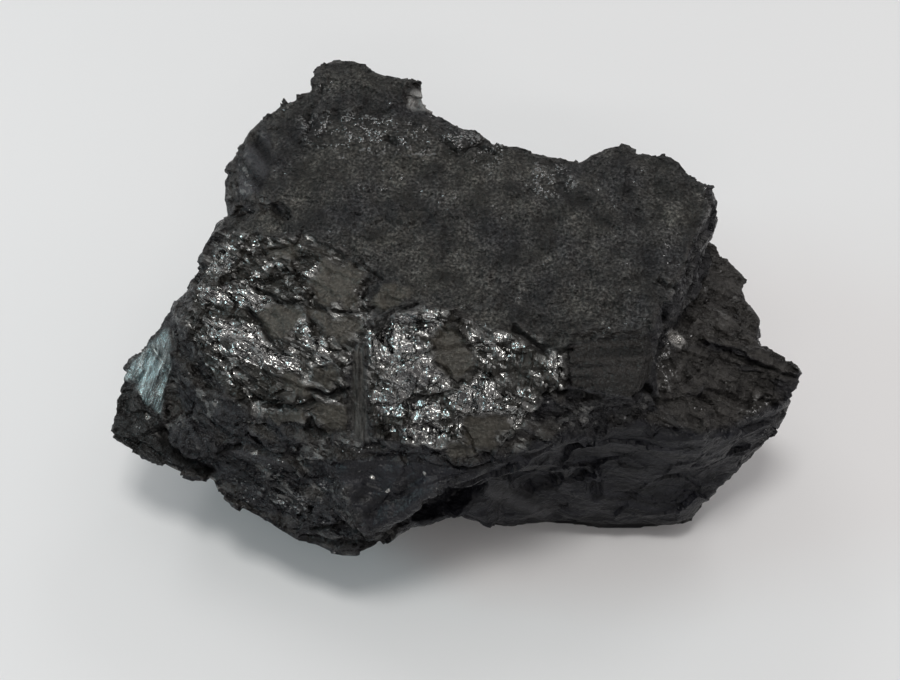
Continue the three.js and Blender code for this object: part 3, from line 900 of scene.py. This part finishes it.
def coal_material():
    """Banded coal: relief too fine for the mesh, then a colour and a gloss for each kind."""
    material = bpy.data.materials.new("banded_coal")
    material.use_nodes = True
    tree = material.node_tree
    tree.nodes.clear()
    nodes = Nodes(tree)
    facets, grain = facet_group(), grain_group()
    place = nodes.add("ShaderNodeTexCoord").outputs["Object"]

    def turned(pitch, turn, stretch):
        """The object's coordinates with the pattern drawn out along a turned axis."""
        angles = (0.0, math.radians(pitch), math.radians(turn))
        inputs = {"Vector": place, "Rotation": angles, "Scale": (stretch, 1, 1)}
        return nodes.add("ShaderNodeMapping", inputs, vector_type="TEXTURE").outputs["Vector"]

    def facet(vector, size_mm, tilt):
        inputs = {"Vector": vector, "Facet Size": size_mm * MM, "Tilt": tilt}
        return nodes.add("ShaderNodeGroup", inputs, node_tree=facets).outputs

    def grains(vector, size_mm, detail=4.0):
        inputs = {"Vector": vector, "Grain Size": size_mm * MM, "Detail": detail}
        return nodes.add("ShaderNodeGroup", inputs, node_tree=grain).outputs

    def shades(name, pattern):
        dark, pale = SHADES[name]
        return nodes.mix(pattern, (*dark, 1), (*pale, 1))

    kind = {name: nodes.attribute(name) for name in KINDS + ("crack", "stripe")}
    broken = nodes.most(kind["bright"], kind["bright_band"])
    sleek = nodes.most(kind["smooth"], kind["prow"])
    calm = nodes.most(kind["plate"], sleek)
    # kinds whose own look keeps fine lines and sparks out
    owned = nodes.most(kind["striated"], kind["dull_plate"], kind["fibre"])
    owned = nodes.math("MULTIPLY_ADD", kind["prow"], 0.75, owned)

    # patterns
    left_streaks = turned(16, -25, 2.8)
    right_streaks = turned(-36, 84, 3.4)
    small = facet(left_streaks, 0.55, 0.25)
    tiny = facet(place, 0.25, 0.9)
    fine = grains(place, 0.5)
    coarse = grains(place, 1.6)
    grit = grains(place, 0.40)["Mottle"]
    cluster = grains(place, 3.5)["Mottle"]
    patch = grains(place, 9.0)["Mottle"]
    silk = grains(turned(8, -6, 5), 1.3)["Mottle"]
    slabs = grains(turned(13, -13, 3), 0.8, 1.0)
    fibre_lines = grains(turned(-36, 88, 6), 0.35)
    groove_lines = grains(turned(-40, 62, 9), 0.6)
    mottle, speck = coarse["Mottle"], fine["Mottle"]

    # foil breaks into glassy scraps, denser where the foil kind is stronger
    scraps = nodes.math("MULTIPLY_ADD", small["Random"], 0.9, kind["foil"])
    scraps = nodes.math("MULTIPLY_ADD", scraps, 3.0, -2.2, clamp=True)
    glassy = nodes.math("MULTIPLY", broken, scraps)

    # relief too fine for the mesh
    def by_side(pattern, *sizes):
        sides = [pattern(streaks, *sizes)["Height"] for streaks in (left_streaks, right_streaks)]
        return nodes.blend(kind["right_foil"], *sides)

    glassy_height = nodes.math("ADD", by_side(facet, 1.2, 0.5), small["Height"])
    glassy_height = nodes.math("MULTIPLY_ADD", by_side(grains, 0.8, 1.5), 0.9, glassy_height)
    ripple = grains(place, 0.42, 0.0)["Height"]
    glassy_height = nodes.math("MULTIPLY_ADD", ripple, 0.3, glassy_height)
    dull_height = nodes.math("MULTIPLY_ADD", slabs["Height"], 0.6, coarse["Height"])
    top_height = nodes.math("MULTIPLY_ADD", fine["Height"], 0.8, tiny["Height"])
    dull_height = nodes.math("MULTIPLY_ADD", top_height, kind["top"], dull_height)
    height = nodes.blend(broken, dull_height, glassy_height)
    height = nodes.math("MULTIPLY", height, nodes.math("MULTIPLY_ADD", calm, -0.6, 1.0))
    flake_height = facet(place, 0.55, 0.8)["Height"]
    height = nodes.math("MULTIPLY_ADD", flake_height, kind["sparkly"], height)
    height = nodes.blend(kind["fibre"], height, fibre_lines["Height"])
    height = nodes.blend(kind["striated"], height, groove_lines["Height"])
    bump = nodes.add("ShaderNodeBump", {"Height": height, "Strength": 1.0, "Distance": 1.0})

    # sparks: rare flakes in clusters, and common ones on the sparkly spots; they are glossy, their
    # pale colour paints glints, and the painted glint spots join them
    rare = nodes.math("MULTIPLY", nodes.math("GREATER_THAN", tiny["Random"], 0.975),
                      nodes.math("GREATER_THAN", cluster, 0.7))
    common = nodes.math("MULTIPLY", nodes.math("GREATER_THAN", tiny["Random"], 0.6),
                        nodes.math("GREATER_THAN", mottle, 0.55))
    sparks_and_painted_glints = nodes.blend(kind["sparkly"], rare, common)
    sparks_and_painted_glints = nodes.without(sparks_and_painted_glints, calm, kind["crack"], owned)
    sparks_and_painted_glints = nodes.most(sparks_and_painted_glints, kind["painted_glint"])

    # colour, from the dull coal to the kinds that lie over it
    # the top's grain, whose palest specks are painted glints
    speck_and_painted_glints = nodes.math("MULTIPLY", nodes.math("POWER", grit, 2.0), cluster)
    top_colour = nodes.mix(patch, shades("top_dark", speck_and_painted_glints), shades("top_pale", speck_and_painted_glints))
    plate_grit = nodes.math("POWER", grit, 3.0)
    plate_colour = nodes.mix(plate_grit, shades("plate", mottle), PLATE_GRIT_COLOUR)
    colour = shades("dull", mottle)
    for mask, over in (
        (broken, shades("broken", mottle)),
        (kind["top"], top_colour),
        (kind["level"], shades("level", mottle)),
        (sleek, shades("smooth", silk)),
        # painted shade near the table
        (kind["foot"], FOOT_SHADE_COLOUR),
        (kind["plate"], plate_colour),
        (kind["fibre"], shades("fibre", fibre_lines["Mottle"])),
        (kind["dull_plate"], shades("dull_plate", kind["stripe"])),
        (kind["striated"], shades("striated", groove_lines["Mottle"])),
        (kind["grey"], GREY_COLOUR),
        (nodes.without(kind["lined"], owned), shades("lined", kind["stripe"])),
        (glassy, shades("foil", small["Random"])),
        # glossy flakes whose pale colour paints glints
        (sparks_and_painted_glints, PAINTED_SPARK_COLOUR),
        # painted highlights
        (kind["painted_glint"], PAINTED_GLINT_COLOUR),
        # painted shade inside the cracks
        (kind["crack"], CRACK_SHADE_COLOUR),
    ):
        colour = nodes.mix(mask, colour, over)

    # gloss: clean coal glass mirrors more than the dull coal round it
    rough = nodes.blend(mottle, *DULL_ROUGH)
    for mask, over in (
        (kind["top"], nodes.blend(speck, *TOP_ROUGH)),
        (kind["smooth"], nodes.blend(kind["foot"], SMOOTH_ROUGH, FOOT_ROUGH)),
        (kind["plate"], nodes.blend(speck, *PLATE_ROUGH)),
        (kind["striated"], STRIATED_ROUGH),
        (glassy, nodes.blend(small["Random"], *FOIL_ROUGH)),
        (kind["hackly"], nodes.blend(small["Random"], *HACKLY_ROUGH)),
        (sparks_and_painted_glints, SPARK_ROUGH),
        (kind["crack"], CRACK_ROUGH),
    ):
        rough = nodes.blend(mask, rough, over)
    shine = nodes.without(nodes.most(glassy, kind["striated"], sparks_and_painted_glints), kind["crack"])

    shader = nodes.add("ShaderNodeBsdfPrincipled", {
        "Base Color": colour, "Metallic": shine, "Roughness": rough, "IOR": COAL_IOR,
        "Normal": bump.outputs["Normal"],
    })
    out = nodes.add("ShaderNodeOutputMaterial")
    tree.links.new(shader.outputs["BSDF"], out.inputs["Surface"])
    return material


def table_material():
    material = bpy.data.materials.new("pale_table")
    material.use_nodes = True
    tree = material.node_tree
    nodes = Nodes(tree)
    place = nodes.add("ShaderNodeTexCoord").outputs["Object"]
    cloud = nodes.add("ShaderNodeTexNoise", {"Vector": place, "Scale": 9.0, "Detail": 3.0})
    colour = nodes.mix(cloud.outputs["Fac"], *TABLE_COLOURS)
    shader = tree.nodes["Principled BSDF"]
    tree.links.new(colour, shader.inputs["Base Color"])
    shader.inputs["Roughness"].default_value = TABLE_ROUGH
    return material


# ---------------------------------------------------------------- the setting

def add_table():
    mesh = bpy.data.meshes.new("table")
    r = TABLE_REACH
    mesh.from_pydata([(-r, -r, 0), (r, -r, 0), (r, r, 0), (-r, r, 0)], [], [(0, 1, 2, 3)])
    table = bpy.data.objects.new("table", mesh)
    table.data.materials.append(table_material())
    bpy.context.scene.collection.objects.link(table)


def look_at(obj, place, aim):
    """Puts a lamp or a camera in its place, facing a point."""
    obj.location = place
    obj.rotation_euler = (Vector(aim) - Vector(place)).to_track_quat("-Z", "Y").to_euler()
    bpy.context.scene.collection.objects.link(obj)


def add_lights():
    for name, place, width, height, power, colour in LAMPS:
        lamp = bpy.data.lights.new(name, "AREA")
        lamp.shape = "RECTANGLE"
        lamp.size = width
        lamp.size_y = height
        lamp.energy = power
        lamp.color = colour
        look_at(bpy.data.objects.new(name, lamp), place, LAMP_AIM)


def add_room():
    """A plain room, dimmer on the viewer's side."""
    world = bpy.data.worlds.new("room")
    world.use_nodes = True
    nodes = Nodes(world.node_tree)
    sky = world.node_tree.nodes["Background"]
    sky.inputs["Color"].default_value = ROOM_COLOUR
    towards = nodes.add("ShaderNodeTexCoord").outputs["Generated"]
    depth = nodes.add("ShaderNodeSeparateXYZ", {"Vector": towards}).outputs["Y"]
    strength = nodes.add("ShaderNodeMapRange", {
        "Value": depth, "From Min": -0.9, "From Max": 0.1,
        "To Min": ROOM_DIM, "To Max": ROOM_BRIGHT,
    })
    world.node_tree.links.new(strength.outputs["Result"], sky.inputs["Strength"])
    bpy.context.scene.world = world


def add_camera():
    """Looks down at the lump from the front."""
    camera = bpy.data.cameras.new("camera")
    camera.lens = CAMERA_LENS
    camera.sensor_width = 36
    camera.clip_start = 0.01
    eye = bpy.data.objects.new("camera", camera)
    back = Vector((0, -math.cos(CAMERA_ELEVATION), math.sin(CAMERA_ELEVATION)))
    look_at(eye, Vector(CAMERA_AIM) + CAMERA_DISTANCE * back, CAMERA_AIM)
    bpy.context.scene.camera = eye


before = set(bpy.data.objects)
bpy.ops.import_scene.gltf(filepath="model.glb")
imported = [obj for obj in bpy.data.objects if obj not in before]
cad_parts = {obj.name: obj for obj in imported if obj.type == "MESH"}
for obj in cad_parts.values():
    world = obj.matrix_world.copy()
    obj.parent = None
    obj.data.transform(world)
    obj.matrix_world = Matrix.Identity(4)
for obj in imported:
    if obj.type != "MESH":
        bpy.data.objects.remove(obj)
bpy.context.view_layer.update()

add_camera()
add_lights()
add_room()
add_table()

coal = coal_body(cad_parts["coal_lump"])
mark_kinds(coal)
coal.data.materials.clear()
coal.data.materials.append(coal_material())
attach(coal, "root")
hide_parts("coal_lump")

bpy.context.scene.view_settings.view_transform = "Standard"
